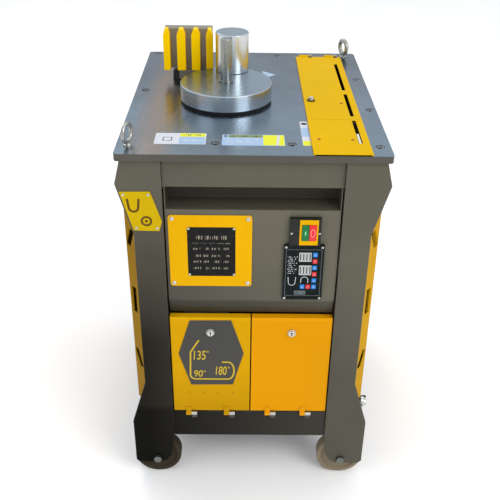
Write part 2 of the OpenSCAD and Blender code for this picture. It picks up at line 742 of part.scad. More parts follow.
module motor_housing() color("#4f6f8f") translate([motor_x, inter_y, 0]) difference() {
  union() {
    rod_z([0, 0, motor_top - motor_len], motor_r, motor_len);
    block([-65, -65, motor_top], [65, 65, motor_top + 8]);
    for (x = [-55, 55], y = [-55, 55]) rod_z([x, y, motor_top], 7, case_z - motor_top);
    block([-motor_r - 16, -30, motor_top - 120], [-motor_r + 10, 30, motor_top - 40]);
  }
  rod_z([0, 0, motor_top - motor_len + 10], 44, motor_len - 20);
  rod_z([0, 0, motor_top - 20], 11 + run, 40);
}
module motor_rotor() color(steel) translate([motor_x, inter_y, 0]) union() {
  rod_z([0, 0, motor_top - motor_len + 20], 11, pulley_z + pulley_t - motor_top + motor_len - 20);
  rod_z([0, 0, motor_top - motor_len + 30], 42, motor_len - 60);
  translate([0, 0, pulley_z]) pulley(motor_groove_r);
}

module electrical_box() color(steel) union() {
  block([-170, -40, base_z + 3], [-60, 130, 360]);
  block([-172, -42, 330], [-58, 132, 336]);
}
module cable_gland() color(dark) difference() {
  union() {
    rod_y([gland_x, 304, gland_z], 11, 24);
    translate([gland_x, 326, gland_z]) rotate([90, 0, 0]) cylinder(h = 7.8, r = 16, $fn = 6);
    rod_y([gland_x, 324, gland_z], 12, 10);
    translate([gland_x, 315.8, gland_z]) rotate([90, 0, 0]) cylinder(h = 5, r = 16, $fn = 6);
  }
  rod_y([gland_x, 300, gland_z], 6.5, 40);
}

table_plate();
front_left_leg();
front_right_leg();
rear_legs();
top_frame();
bottom_frame();
base_tray();
control_fascia();
left_side_panel();
right_side_panel();
rear_panel();
left_door();
hexagon_plate();
left_door_lock();
right_door();
right_door_lock();
door_hinge_pins();
info_plate();
corner_badge();
switch_box();
switch_faceplate();
start_button();
stop_button();
control_pad();
key(0);  // key_1
key(1);  // key_2
key(2);  // key_3
key(3);  // key_4
key(4);  // key_5
key(5);  // key_6
key(6);  // key_7
key(7);  // key_8
bending_disc();
seal_ring();
centre_pin();
bending_roller();
fence_base();
fence_block();
fence_jaws();
top_cover_lid();
lid_lock();
top_cover_front();
lifting_eyes();
front_left_wheel();
front_right_wheel();
rear_left_wheel();
rear_right_wheel();
wheel_axles();
fasteners();
main_shaft();
main_gear();
main_bearings();
gearbox_housing();
intermediate_gear();
input_shaft();
drive_belt();
motor_housing();
motor_rotor();
electrical_box();
cable_gland();
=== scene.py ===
import math

import bmesh
import bpy
from mathutils import Matrix, Vector


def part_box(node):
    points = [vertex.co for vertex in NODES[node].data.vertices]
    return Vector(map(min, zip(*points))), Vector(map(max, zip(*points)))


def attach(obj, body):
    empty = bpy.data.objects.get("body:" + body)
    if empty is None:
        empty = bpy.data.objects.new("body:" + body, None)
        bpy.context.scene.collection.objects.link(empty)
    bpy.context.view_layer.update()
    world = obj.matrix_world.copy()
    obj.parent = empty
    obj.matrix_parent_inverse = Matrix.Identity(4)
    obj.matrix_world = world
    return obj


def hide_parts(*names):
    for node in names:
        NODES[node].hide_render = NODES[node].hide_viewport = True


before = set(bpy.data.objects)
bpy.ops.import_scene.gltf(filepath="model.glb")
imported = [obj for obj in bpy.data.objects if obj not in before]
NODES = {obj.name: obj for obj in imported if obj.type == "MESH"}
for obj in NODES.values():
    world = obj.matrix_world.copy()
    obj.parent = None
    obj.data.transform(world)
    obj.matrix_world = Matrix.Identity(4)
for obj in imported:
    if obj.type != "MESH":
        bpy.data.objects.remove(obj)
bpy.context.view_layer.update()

# Looks of a floor-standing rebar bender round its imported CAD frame.
# +Z up, front towards -Y, origin on the floor under the middle of the table.
# Meshes and prints are typed in millimetres and made in metres with MM. The camera, the
# lights and the ramps of the materials are in metres.

MM = 0.001
RIGHT, BACK, UP = Vector((1, 0, 0)), Vector((0, 1, 0)), Vector((0, 0, 1))


# --- camera, light and stage ---

CAMERA_PLACE = Vector((-0.0195, -1.6679, 1.4615))
CAMERA_PITCH = math.radians(31.03)  # below the horizon
CAMERA_YAW = math.radians(-0.62)
CAMERA_ROLL = math.radians(0.82)
CAMERA_LENS = 54.65  # on a 36 mm sensor


def make_camera():
    """The camera looks down at the machine from in front, almost along +Y."""
    forward = Vector((-math.sin(CAMERA_YAW) * math.cos(CAMERA_PITCH),
                      math.cos(CAMERA_YAW) * math.cos(CAMERA_PITCH),
                      -math.sin(CAMERA_PITCH)))
    level = Vector((math.cos(CAMERA_YAW), math.sin(CAMERA_YAW), 0))
    over = level.cross(forward)
    right = level * math.cos(CAMERA_ROLL) + over * math.sin(CAMERA_ROLL)
    up = over * math.cos(CAMERA_ROLL) - level * math.sin(CAMERA_ROLL)
    data = bpy.data.cameras.new("camera")
    data.lens = CAMERA_LENS
    camera = bpy.data.objects.new("camera", data)
    turn = Matrix((right, up, -forward)).transposed()
    camera.matrix_world = Matrix.Translation(CAMERA_PLACE) @ turn.to_4x4()
    bpy.context.scene.collection.objects.link(camera)
    bpy.context.scene.camera = camera


SOFTBOX = 2.0  # side of each square softbox
LIGHTS = (  # name, place, height of its aim, watts, colour
    ("key", (2.3, -2.6, 2.9), 0.6, 62, (1, 0.98, 0.95)),
    ("fill", (-2.4, -1.8, 2.0), 0.6, 10, (1, 1, 1)),
    ("rim", (-1.8, 2.6, 3.6), 0.8, 40, (1, 1, 1)),
)
SKY_COLOUR = (0.95, 0.97, 1.0, 1)
SKY_BY_HEIGHT = (0.0, 0.9, 0.5, 1.25)  # from, to, strength at from, strength at to
SKY_BY_SIDE = (-0.8, 0.8, 0.75, 1.2)  # the same, from left to right
FLOOR_RADIUS = 14


def soft_light(name, place, aim_height, watts, colour):
    """A square softbox that points at the machine's upright axis."""
    data = bpy.data.lights.new(name, "AREA")
    data.size = SOFTBOX
    data.energy = watts
    data.color = colour
    light = bpy.data.objects.new(name, data)
    light.location = place
    aim = UP * aim_height - Vector(place)
    light.rotation_euler = aim.to_track_quat("-Z", "Y").to_euler()
    bpy.context.scene.collection.objects.link(light)


def make_sky():
    """A grey room that is brighter overhead and towards the right."""
    world = bpy.data.worlds.new("studio")
    world.use_nodes = True
    n = Nodes(world.node_tree)
    place = n.axes(n.node("ShaderNodeTexCoord").outputs["Generated"])
    height = n.between(place["Z"], *SKY_BY_HEIGHT)
    side = n.between(place["X"], *SKY_BY_SIDE)
    sky = n.tree.nodes["Background"].inputs
    sky["Color"].default_value = SKY_COLOUR
    n.join(n.maths("MULTIPLY", height, side), sky["Strength"])
    bpy.context.scene.world = world


def make_studio():
    """Pale floor, soft sky and three softboxes, the brightest of them in front on the right."""
    bpy.context.scene.view_settings.view_transform = "Standard"
    make_sky()
    for light in LIGHTS:
        soft_light(*light)
    bm = bmesh.new()
    bmesh.ops.create_circle(bm, cap_ends=True, radius=FLOOR_RADIUS, segments=96)
    floor = mesh_object("floor", bm)
    dress(floor, floor_material())


# --- building blocks for materials ---

def srgb(red, green, blue):
    """A linear RGBA colour from 0-255 display values."""
    def linear(c):
        c /= 255
        return c / 12.92 if c <= 0.04045 else ((c + 0.055) / 1.055) ** 2.4
    return (linear(red), linear(green), linear(blue), 1.0)


def shade(colour, factor):
    """The colour made darker or lighter."""
    return tuple(min(1.0, c * factor) for c in colour[:3]) + (1.0,)


def dusty(colour, amount):
    """The colour under a thin veil of grey dust."""
    return tuple((1 - 2 * amount) * c + amount for c in colour[:3]) + (1.0,)


class Nodes:
    """Makes and joins the nodes of a tree."""

    def __init__(self, tree):
        self.tree = tree

    def node(self, kind, **values):
        """A new node with its settings."""
        made = self.tree.nodes.new(kind)
        for key, value in values.items():
            setattr(made, key, value)
        return made

    def join(self, source, target):
        self.tree.links.new(source, target)

    def axes(self, vector):
        """The X, Y and Z of a vector socket."""
        parts = self.node("ShaderNodeSeparateXYZ")
        self.join(vector, parts.inputs[0])
        return parts.outputs

    def between(self, value, low, high, out_low=0.0, out_high=1.0):
        """Value remapped and clamped."""
        made = self.node("ShaderNodeMapRange")
        for name, number in (("From Min", low), ("From Max", high),
                             ("To Min", out_low), ("To Max", out_high)):
            made.inputs[name].default_value = number
        self.join(value, made.inputs["Value"])
        return made.outputs["Result"]

    def maths(self, operation, first, second):
        """A sum, product or the like of sockets or numbers."""
        made = self.node("ShaderNodeMath", operation=operation)
        for socket, value in zip(made.inputs, (first, second)):
            if isinstance(value, (int, float)):
                socket.default_value = value
            else:
                self.join(value, socket)
        return made.outputs[0]


class Recipe(Nodes):
    """A procedural material built node by node round one Principled shader."""

    def __init__(self, name):
        self.material = bpy.data.materials.new(name)
        self.material.use_nodes = True
        super().__init__(self.material.node_tree)
        self.shader = self.tree.nodes["Principled BSDF"]
        self.place = self.node("ShaderNodeTexCoord").outputs["Object"]

    def noise(self, scale, detail, rough=0.55, stretch=(1, 1, 1)):
        """Noise with about scale spots to the metre, times stretch along each axis."""
        mapping = self.node("ShaderNodeMapping")
        mapping.inputs["Scale"].default_value = stretch
        self.join(self.place, mapping.inputs["Vector"])
        made = self.node("ShaderNodeTexNoise")
        made.inputs["Scale"].default_value = scale
        made.inputs["Detail"].default_value = detail
        made.inputs["Roughness"].default_value = rough
        self.join(mapping.outputs["Vector"], made.inputs["Vector"])
        return made.outputs["Fac"]

    def mixed(self, share, first, second):
        """Two colours, or colour sockets, blended by a socket."""
        made = self.node("ShaderNodeMix", data_type="RGBA")
        self.join(share, made.inputs["Factor"])
        for socket, value in ((made.inputs[6], first), (made.inputs[7], second)):
            if isinstance(value, tuple):
                socket.default_value = value
            else:
                self.join(value, socket)
        return made.outputs[2]

    def dimmed(self, share, colour, factor):
        """A colour socket multiplied by factor where share is 1."""
        made = self.node("ShaderNodeMix", data_type="RGBA", blend_type="MULTIPLY")
        self.join(share, made.inputs["Factor"])
        self.join(colour, made.inputs[6])
        made.inputs[7].default_value = (factor, factor, factor, 1)
        return made.outputs[2]

    def slope(self, *ramps):
        """Product of ramps (axis, from, to), each of which rises from 0 to 1 between the two."""
        place = self.axes(self.place)
        product = None
        for axis, start, end in ramps:
            if start < end:
                ramp = self.between(place[axis], start, end)
            else:
                ramp = self.between(place[axis], end, start, 1.0, 0.0)
            product = ramp if product is None else self.maths("MULTIPLY", product, ramp)
        return product

    def rise(self):
        """1 where the surface faces straight up, 0 where it stands upright."""
        return self.axes(self.node("ShaderNodeNewGeometry").outputs["Normal"])[2]

    def edges(self, radius):
        """1 on edges, 0 on flat stretches further than radius from them."""
        rounded = self.node("ShaderNodeBevel", samples=6)
        rounded.inputs["Radius"].default_value = radius
        flat = self.node("ShaderNodeNewGeometry")
        dot = self.node("ShaderNodeVectorMath", operation="DOT_PRODUCT")
        self.join(rounded.outputs["Normal"], dot.inputs[0])
        self.join(flat.outputs["Normal"], dot.inputs[1])
        return self.between(dot.outputs["Value"], 1.0, 0.8)

    def colour(self, socket):
        self.join(socket, self.shader.inputs["Base Color"])

    def gloss(self, metallic, coat=0.0, coat_rough=0.1, specular=0.5):
        self.shader.inputs["Metallic"].default_value = metallic
        self.shader.inputs["Specular IOR Level"].default_value = specular
        self.shader.inputs["Coat Weight"].default_value = coat
        self.shader.inputs["Coat Roughness"].default_value = coat_rough

    def roughness(self, value, low, high):
        self.join(self.between(value, 0.3, 0.7, low, high), self.shader.inputs["Roughness"])

    def bumps(self, height, strength, distance):
        """Small relief; distance is the height in metres between 0 and 1."""
        made = self.node("ShaderNodeBump")
        made.inputs["Strength"].default_value = strength
        made.inputs["Distance"].default_value = distance
        self.join(height, made.inputs["Height"])
        self.join(made.outputs["Normal"], self.shader.inputs["Normal"])


GRIT = 0.1 * MM  # usual height of the fine relief of a surface
RUBBED = 1.6 * MM  # how far wear reaches from an edge


def painted(name, colour, worn_and_lit_edge, rough=(0.28, 0.42), patch=0.9, wear=0.35, coat=0.02,
            peel=0.12, shadows=(), specular=0.04, dull=()):
    """Sprayed paint: soft patches, orange peel, specks and rubbed edges, which on grey paint are
    also a painted highlight.

    shadows are (ramps, factor) pairs of painted shade where the ramps rise; a factor above 1 is
    painted highlight.
    dull ramps take away its shine.
    """
    r = Recipe(name)
    base = r.mixed(r.between(r.noise(5, 3), 0.35, 0.65), shade(colour, patch), colour)
    # painted shade, and painted highlight where a factor is above 1
    for ramps, factor in shadows:
        base = r.dimmed(r.slope(*ramps), base, factor)
    base = r.dimmed(r.between(r.noise(420, 2, 0.5), 0.66, 0.72, 0, 0.35), base, 0.6)
    # rubbed edges: wear, and on grey paint also painted highlight
    rubbed = r.between(r.noise(60, 5, 0.7), 0.42, 0.62, 0, wear)
    base = r.mixed(r.maths("MULTIPLY", r.edges(RUBBED), rubbed), base, worn_and_lit_edge)
    r.colour(base)
    r.roughness(r.noise(22, 4), *rough)
    r.gloss(0.0, coat, 0.12, specular)
    if dull:
        r.join(r.between(r.slope(*dull), 0, 1, specular, 0.02),
               r.shader.inputs["Specular IOR Level"])
    r.bumps(r.noise(700, 2, 0.5), peel, 2.5 * GRIT)
    return r.material


def bare_metal(name, colour, rough, stretch=(1, 1, 40), scale=30):
    """Milled or rolled steel: faint stains, and grain that stretch makes finer along an axis."""
    r = Recipe(name)
    grain = r.noise(scale, 6, 0.65, stretch)
    stains = r.between(r.noise(9, 5, 0.6), 0.35, 0.68)
    base = r.mixed(stains, shade(colour, 0.8), colour)
    base = r.mixed(r.between(grain, 0.3, 0.7, 0, 0.45), base, shade(colour, 1.25))
    r.colour(base)
    r.roughness(grain, *rough)
    r.gloss(1.0)
    r.bumps(grain, 0.2, GRIT)
    return r.material


TABLE_REFLECTION = ((0, -0.255, -0.212), (0, -0.15, -0.19), (1, 0.30, 0.12))  # painted reflection: a tan stripe along the left edge
TABLE_REAR_SHADE = (1, -0.12, 0.26)  # painted shade, darker towards the rear


def table_material():
    """Rolled blue-grey plate: polished above with a painted reflection and painted shade, brown
    mill scale on its sides.
    """
    r = Recipe("table_steel")
    rolled = r.noise(7, 6, 0.6, (5, 0.6, 1))
    cloud = r.between(r.noise(6, 5, 0.6), 0.35, 0.66)
    top = r.mixed(cloud, srgb(114, 131, 147), srgb(136, 155, 171))
    top = r.mixed(r.between(rolled, 0.35, 0.65, 0, 0.4), top, srgb(124, 139, 152))
    streaks = r.between(rolled, 0.2, 0.6, 0.35, 0.85)
    # painted reflection: a tan stripe streaked by the rolling grain
    painted_reflection = r.maths("MULTIPLY", r.slope(*TABLE_REFLECTION), streaks)
    top = r.mixed(painted_reflection, top, srgb(164, 146, 128))
    # painted shade towards the rear
    top = r.dimmed(r.slope(TABLE_REAR_SHADE), top, 0.7)
    spots = r.between(r.noise(90, 4, 0.7), 0.68, 0.74, 0, 0.35)
    top = r.mixed(spots, top, srgb(70, 74, 80))
    facing = r.rise()
    level = r.between(facing, 0.55, 0.9)
    side = r.mixed(cloud, srgb(68, 66, 58), srgb(80, 77, 68))
    r.colour(r.mixed(level, side, top))
    r.join(r.between(facing, 0.55, 0.9, 0.35, 1.0), r.shader.inputs["Metallic"])
    r.roughness(r.noise(25, 4, 0.6, (3, 0.6, 1)), 0.2, 0.3)
    r.bumps(r.noise(60, 2, 0.5, (3, 0.4, 1)), 0.01, GRIT)
    return r.material


RINGS = 900  # cuts of the lathe to the metre


def turned_metal(name, face, wall, axis, rough):
    """Steel turned on a lathe about a vertical axis: fine rings that follow the cut.

    face is the colour of level surfaces and wall that of upright ones: tints of one steel with
    painted reflection.
    """
    r = Recipe(name)
    centred = r.node("ShaderNodeVectorMath", operation="SUBTRACT")
    r.join(r.place, centred.inputs[0])
    centred.inputs[1].default_value = (axis.x, axis.y, 0)
    parts = r.axes(centred.outputs[0])
    squares = [r.maths("MULTIPLY", parts[k], parts[k]) for k in (0, 1)]
    radius = r.maths("SQRT", r.maths("ADD", *squares), 0)
    along = r.node("ShaderNodeCombineXYZ")
    r.join(radius, along.inputs[0])
    r.join(parts[2], along.inputs[1])
    cut = r.node("ShaderNodeTexNoise")
    cut.inputs["Scale"].default_value = RINGS
    cut.inputs["Detail"].default_value = 3
    r.join(along.outputs[0], cut.inputs["Vector"])
    cut = cut.outputs["Fac"]
    smears = r.between(r.noise(14, 5, 0.6), 0.35, 0.7)
    # painted reflection: level faces and upright walls of one steel get different tints
    base = r.mixed(r.between(r.rise(), 0.5, 0.9), wall, face)
    base = r.dimmed(smears, base, 0.88)
    base = r.mixed(r.between(cut, 0.35, 0.65, 0, 0.15), base, shade(wall, 1.1))
    r.colour(base)
    r.roughness(cut, *rough)
    r.gloss(1.0)
    r.bumps(cut, 0.016, GRIT / 2)
    return r.material


def moulded(name, colour, rough=(0.32, 0.5), specular=0.25):
    """Moulded plastic or rubber with fine grain and slight dust."""
    r = Recipe(name)
    dust = r.between(r.noise(40, 4, 0.6), 0.5, 0.75, 0, 0.4)
    r.colour(r.mixed(dust, colour, dusty(colour, 0.03)))
    r.roughness(r.noise(90, 3), *rough)
    r.gloss(0.0, specular=specular)
    r.bumps(r.noise(1500, 2), 0.15, GRIT)
    return r.material


def printed(name, colour, rough=(0.3, 0.45)):
    """Printed film: one ink, scuffed a little, with uneven gloss."""
    r = Recipe(name)
    scuffs = r.between(r.noise(160, 5, 0.7), 0.55, 0.72, 0, 0.4)
    r.colour(r.mixed(scuffs, colour, dusty(colour, 0.08)))
    r.roughness(r.noise(70, 3), *rough)
    r.gloss(0.0, specular=0.15)
    r.bumps(r.noise(500, 2), 0.05, GRIT / 2)
    return r.material


HINGE_SPLIT = (2, 0.1985, 0.1995)  # the ramp in Z between the leaves and the pins


def hinge_material(paint, metal):
    """Zinc pins on painted leaves: the leaves lie below the pins, in the frame's grey darkened as
    painted shade.
    """
    r = Recipe("hinge_finish")
    pins = r.slope(HINGE_SPLIT)
    grain = r.between(r.noise(80, 4), 0.35, 0.65)
    # painted shade: the leaves get the frame's grey at 0.4 to 0.5 of its brightness
    r.colour(r.mixed(pins, r.mixed(grain, shade(paint, 0.4), shade(paint, 0.5)),
                     r.mixed(grain, shade(metal, 0.8), metal)))
    r.join(pins, r.shader.inputs["Metallic"])
    r.roughness(r.noise(200, 4), 0.25, 0.42)
    r.bumps(r.noise(600, 2), 0.1, GRIT)
    return r.material


def floor_material():
    """Matt near-white floor with faint clouds."""
    r = Recipe("floor_paint")
    cloud = r.between(r.noise(1.5, 3), 0.3, 0.7)
    r.colour(r.mixed(cloud, (0.93, 0.93, 0.93, 1), (0.96, 0.96, 0.96, 1)))
    r.roughness(r.noise(3, 2), 0.55, 0.7)
    return r.material


# --- building blocks for meshes ---

def mesh_object(name, bm):
    """A linked object that holds what bm has, and frees bm."""
    data = bpy.data.meshes.new(name)
    bm.normal_update()
    bm.to_mesh(data)
    bm.free()
    made = bpy.data.objects.new(name, data)
    bpy.context.scene.collection.objects.link(made)
    return made


def dress(obj, *materials):
    """Replaces the object's materials."""
    if obj.data.materials:
        obj.data.materials.clear()
    for material in materials:
        obj.data.materials.append(material)


WELD_GAP = 0.005 * MM  # corners nearer than this are one corner
FLAT_ANGLE = math.radians(0.5)  # faces that meet at less than this are one face
SHARP_ANGLE = math.radians(32)  # edges sharper than this are rounded


def merge_faces(obj):
    """Joins the triangles of an imported mesh into whole faces."""
    weld = obj.modifiers.new("weld", "WELD")
    weld.merge_threshold = WELD_GAP
    flat = obj.modifiers.new("flat", "DECIMATE")
    flat.decimate_type = "DISSOLVE"
    flat.angle_limit = FLAT_ANGLE


def round_edges(obj, width):
    """Rounds sharp edges by width millimetres, so that they catch the light."""
    bevel = obj.modifiers.new("bevel", "BEVEL")
    bevel.width = width * MM
    bevel.segments = 2
    bevel.limit_method = "ANGLE"
    bevel.angle_limit = SHARP_ANGLE
    bevel.use_clamp_overlap = True
    obj.modifiers.new("normals", "WEIGHTED_NORMAL")
    for face in obj.data.polygons:
        face.use_smooth = True


def dress_nodes(material, width, *names):
    """Gives CAD nodes their finish and, where width is above 0, rounded edges."""
    for name in names:
        dress(NODES[name], material)
        if width:
            merge_faces(NODES[name])
            round_edges(NODES[name], width)


def place_piece(name, bm, body, *materials, rounded=0.0):
    """A piece that holds what bm has and rides on a body; rounded is in millimetres."""
    made = mesh_object(name, bm)
    dress(made, *materials)
    if rounded:
        round_edges(made, rounded)
    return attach(made, body)


def turned(bm, profile, at, axis, segments, ink=0):
    """Revolves (radius, height) points round an axis through at, in millimetres.

    A point with a third number is a regular polygon with that many sides, radius to its flats.
    """
    at, axis = Vector(at), axis.normalized()
    across = axis.orthogonal().normalized() if abs(axis.z) < 0.9 else RIGHT
    along = axis.cross(across)
    rings = []
    for radius, height, *sides in profile:
        ring = []
        for k in range(segments if radius else 1):
            angle = 2 * math.pi * k / segments
            reach = radius
            if sides:
                part = 2 * math.pi / sides[0]
                reach = radius / math.cos((angle % part) - part / 2)
            out = across * math.cos(angle) + along * math.sin(angle)
            ring.append(bm.verts.new((at + axis * height + out * reach) * MM))
        rings.append(ring)
    for low, high in zip(rings, rings[1:]):
        for k in range(segments):
            j = (k + 1) % segments
            corners = [low[k % len(low)], low[j % len(low)],
                       high[j % len(high)], high[k % len(high)]]
            corners = list(dict.fromkeys(corners))
            if len(corners) > 2:
                bm.faces.new(corners).material_index = ink


def slab(bm, low, high, ink=0):
    """A closed box between two corners, in millimetres."""
    made = bmesh.ops.create_cube(bm, size=1)
    middle, size = (Vector(low) + Vector(high)) / 2, Vector(high) - Vector(low)
    for vert in made["verts"]:
        vert.co = (Vector([c * s for c, s in zip(vert.co, size)]) + middle) * MM
        for face in vert.link_faces:
            face.material_index = ink


BEAD_SIDES, BEAD_RIPPLE, BEAD_END = 8, 0.16, 0.35  # the last two are shares of its radius


def bead(bm, start, end, radius, seed):
    """A weld bead: a rippled tube between two points, in millimetres."""
    start, end = Vector(start), Vector(end)
    axis = (end - start).normalized()
    across = axis.orthogonal().normalized()
    along = axis.cross(across)
    steps = max(3, int((end - start).length / (radius * 0.8)))
    rings = []
    for i in range(steps + 1):
        swell = BEAD_END if i in (0, steps) else 1 + BEAD_RIPPLE * math.sin(2.4 * i + seed)
        centre = start + (end - start) * i / steps
        ring = []
        for k in range(BEAD_SIDES):
            angle = 2 * math.pi * k / BEAD_SIDES
            out = across * math.cos(angle) + along * math.sin(angle)
            ring.append(bm.verts.new((centre + out * radius * swell) * MM))
        rings.append(ring)
    for low, high in zip(rings, rings[1:]):
        for k in range(BEAD_SIDES):
            j = (k + 1) % BEAD_SIDES
            bm.faces.new((low[k], low[j], high[j], high[k]))
    bm.faces.new(reversed(rings[0]))
    bm.faces.new(rings[-1])


LAYER = 0.12  # height of one printed layer, mm
LETTER_SWELL = 0.012  # how much bolder than plain the lettering is


def arc(u, v, radius, start, end, steps, wide=None):
    """Points of an arc, in degrees. An oval has wide for its radius across."""
    points = []
    for k in range(steps + 1):
        angle = math.radians(start + (end - start) * k / steps)
        points.append((u + (wide or radius) * math.cos(angle), v + radius * math.sin(angle)))
    return points


class Print:
    """Flat shapes printed in layers on a plane, in millimetres of that plane."""

    def __init__(self, origin, across, up):
        self.bm = bmesh.new()
        self.origin, self.across, self.up = Vector(origin), across, up
        self.out = across.cross(up)

    def at(self, u, v, height):
        """The place in metres of a point u across, v up and height above the plane."""
        return (self.origin + self.across * u + self.up * v + self.out * height) * MM

    def shape(self, points, ink, layer=0, thick=LAYER):
        """One filled outline, listed anticlockwise."""
        foot = [self.bm.verts.new(self.at(u, v, layer * LAYER)) for u, v in points]
        top = [self.bm.verts.new(self.at(u, v, layer * LAYER + thick)) for u, v in points]
        made = [self.bm.faces.new(top)]
        for k in range(len(points)):
            j = (k + 1) % len(points)
            made.append(self.bm.faces.new((foot[k], foot[j], top[j], top[k])))
        for face in made:
            face.material_index = ink

    def bar(self, u0, v0, u1, v1, ink, layer=1):
        """A rectangle between two corners."""
        self.shape([(u0, v0), (u1, v0), (u1, v1), (u0, v1)], ink, layer)

    def rounded(self, u0, v0, u1, v1, radius, ink, layer=0, thick=LAYER):
        """A bar with round corners."""
        points = []
        for cu, cv, start in ((u1 - radius, v0 + radius, 270), (u1 - radius, v1 - radius, 0),
                              (u0 + radius, v1 - radius, 90), (u0 + radius, v0 + radius, 180)):
            points += arc(cu, cv, radius, start, start + 90, 6)
        self.shape(points, ink, layer, thick)

    def dot(self, u, v, radius, ink, layer=1, sides=24):
        """A disc, or a regular polygon with few sides."""
        self.shape(arc(u, v, radius, 0, 360 - 360 / sides, sides - 1), ink, layer)

    def line(self, points, width, ink, layer=1, closed=False):
        """A ribbon along a path, with mitred corners."""
        points = [Vector(p) for p in points]
        count = len(points)
        legs = [(points[(k + 1) % count] - p).normalized() for k, p in enumerate(points)]
        if not closed:
            legs[-1] = legs[-2]
        left, right = [], []
        for k, p in enumerate(points):
            first = legs[k - 1] if k or closed else legs[0]
            last = legs[k]
            normal = Vector((-(first.y + last.y), first.x + last.x)).normalized()
            reach = width / 2 / max(0.5, normal.dot(Vector((-last.y, last.x))))
            left.append(p + normal * reach)
            right.append(p - normal * reach)
        for k in range(count if closed else count - 1):
            j = (k + 1) % count
            self.shape([right[k], right[j], left[j], left[k]], ink, layer)

    def words(self, text, box, ink, lean):
        """Generic lettering, such as the number of an angle, fitted to a box on layer 1."""
        u0, v0, u1, v1 = box
        curve = bpy.data.curves.new("lettering", "FONT")
        curve.body, curve.shear, curve.offset = text, lean, LETTER_SWELL
        writer = bpy.data.objects.new("lettering", curve)
        bpy.context.scene.collection.objects.link(writer)
        bpy.context.view_layer.update()
        flat = bpy.data.meshes.new_from_object(writer.evaluated_get(
            bpy.context.evaluated_depsgraph_get()))
        xs, ys = [p.co.x for p in flat.vertices], [p.co.y for p in flat.vertices]
        left, foot = min(xs), min(ys)
        wide, tall = (u1 - u0) / (max(xs) - left), (v1 - v0) / (max(ys) - foot)
        made = [self.bm.verts.new(self.at(u0 + (x - left) * wide, v0 + (y - foot) * tall,
                                          2 * LAYER)) for x, y in zip(xs, ys)]
        for face in flat.polygons:
            self.bm.faces.new([made[k] for k in face.vertices]).material_index = ink
        bpy.data.objects.remove(writer)
        bpy.data.meshes.remove(flat)
        bpy.data.curves.remove(curve)


def islands(node):
    """(lowest, highest) corner in millimetres of every separate solid of a CAD node."""
    bm = bmesh.new()
    bm.from_mesh(NODES[node].data)
    bmesh.ops.remove_doubles(bm, verts=bm.verts, dist=WELD_GAP)
    left, found = set(bm.verts), []
    while left:
        queue, solid = [left.pop()], []
        while queue:
            vert = queue.pop()
            solid.append(vert.co.copy())
            for edge in vert.link_edges:
                other = edge.other_vert(vert)
                if other in left:
                    left.remove(other)
                    queue.append(other)
        low = Vector([min(p[k] for p in solid) for k in range(3)]) / MM
        high = Vector([max(p[k] for p in solid) for k in range(3)]) / MM
        found.append((low, high))
    bm.free()
    return sorted(found, key=lambda pair: tuple(round(c, 2) for c in pair[0]))


# --- fasteners, eyes and locks ---

TABLE_TOP = round(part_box("table_plate")[1].z / MM, 3)
COVER_FACE = round(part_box("top_cover_front")[1].z / MM, 3)
DOOR_FACE, LOCK_Z = -324.0, 440.0
EYES = ((71, 4.0), (-66, 5.2))  # turn in degrees and wire radius, left then right
EYE_OUTER, EYE_HEIGHT = 22.0, 26.0  # outer radius of the ring and height of its middle


def centre_of(node):
    """The middle of a node's box, in millimetres."""
    low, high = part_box(node)
    return (low + high) / 2 / MM


def lid_hinge_pin(bm, low, high):
    """A pin of the lid's hinge, from low to high, with the lug that holds its right end."""
    lug = 8
    at = (low.x, (low.y + high.y) / 2 - 0.5, TABLE_TOP + 4)
    turned(bm, [(0, 0), (1.9, 0.3), (1.9, high.x - low.x - lug)], at, RIGHT, 20)
    slab(bm, (high.x - lug, low.y, low.z), high)


def pan_screw(bm, face, radius, height):
    """A pan head with a square recess on a face towards -Y."""
    turned(bm, [(radius, 0), (radius, 0.4 * height), (0.82 * radius, 0.85 * height),
                (0.5 * radius, height), (0.3 * radius, height, 4), (0.2 * radius, 0.5 * height, 4),
                (0, 0.45 * height)], face, -BACK, 24)


def sunk_bolt(bm, face):
    """A countersunk head with a hexagon socket."""
    turned(bm, [(5, -13), (5, -7), (8.9, -6), (8.9, 0), (8.3, 0), (5.4, -2.6), (4.6, -2.8, 6),
                (4.4, -6, 6), (0, -6.4)], face, UP, 36)


def cap_screw(bm, face):
    """A cylinder head with a hexagon socket on a face towards +Z."""
    turned(bm, [(6.5, 0), (6.5, 3.3), (5.9, 4), (3.7, 4), (3.2, 3.7, 6), (3.2, 1.4, 6), (0, 1.2)],
           face, UP, 36)


def flange_bolt(bm, face):
    """A hexagon head on a flange, towards -Y."""
    turned(bm, [(5, -12), (5, 0), (12, 0), (12, 2), (11.6, 3), (10.2, 3.1, 6), (10.2, 11.5, 6),
                (8.8, 12.8, 6), (7.6, 13), (0, 13)], face, -BACK, 36)


def make_fasteners(bright, dark):
    """Every fastener of the CAD node with its recess, told apart by its place and its width."""
    shiny, sunk = bmesh.new(), bmesh.new()
    for low, high in islands("fasteners"):
        size, middle = high - low, (low + high) / 2
        at_table = low.z > TABLE_TOP - 20
        if at_table and size.x > 25:
            lid_hinge_pin(shiny, low, high)
        elif at_table and size.x > 15:
            sunk_bolt(sunk, (middle.x, middle.y, high.z))
        elif at_table:
            cap_screw(sunk, (middle.x, middle.y, high.z - 4))
        elif size.x > 15:
            flange_bolt(shiny, (middle.x, low.y + 13, middle.z))
        else:
            height = min(2.0, size.y)
            pan_screw(shiny, (middle.x, low.y + height, middle.z), size.x / 2, height)
    screws = place_piece("screws", shiny, "frame", bright, rounded=0.15)
    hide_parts("fasteners")
    place_piece("table_bolts", sunk, "frame", dark, rounded=0.15)


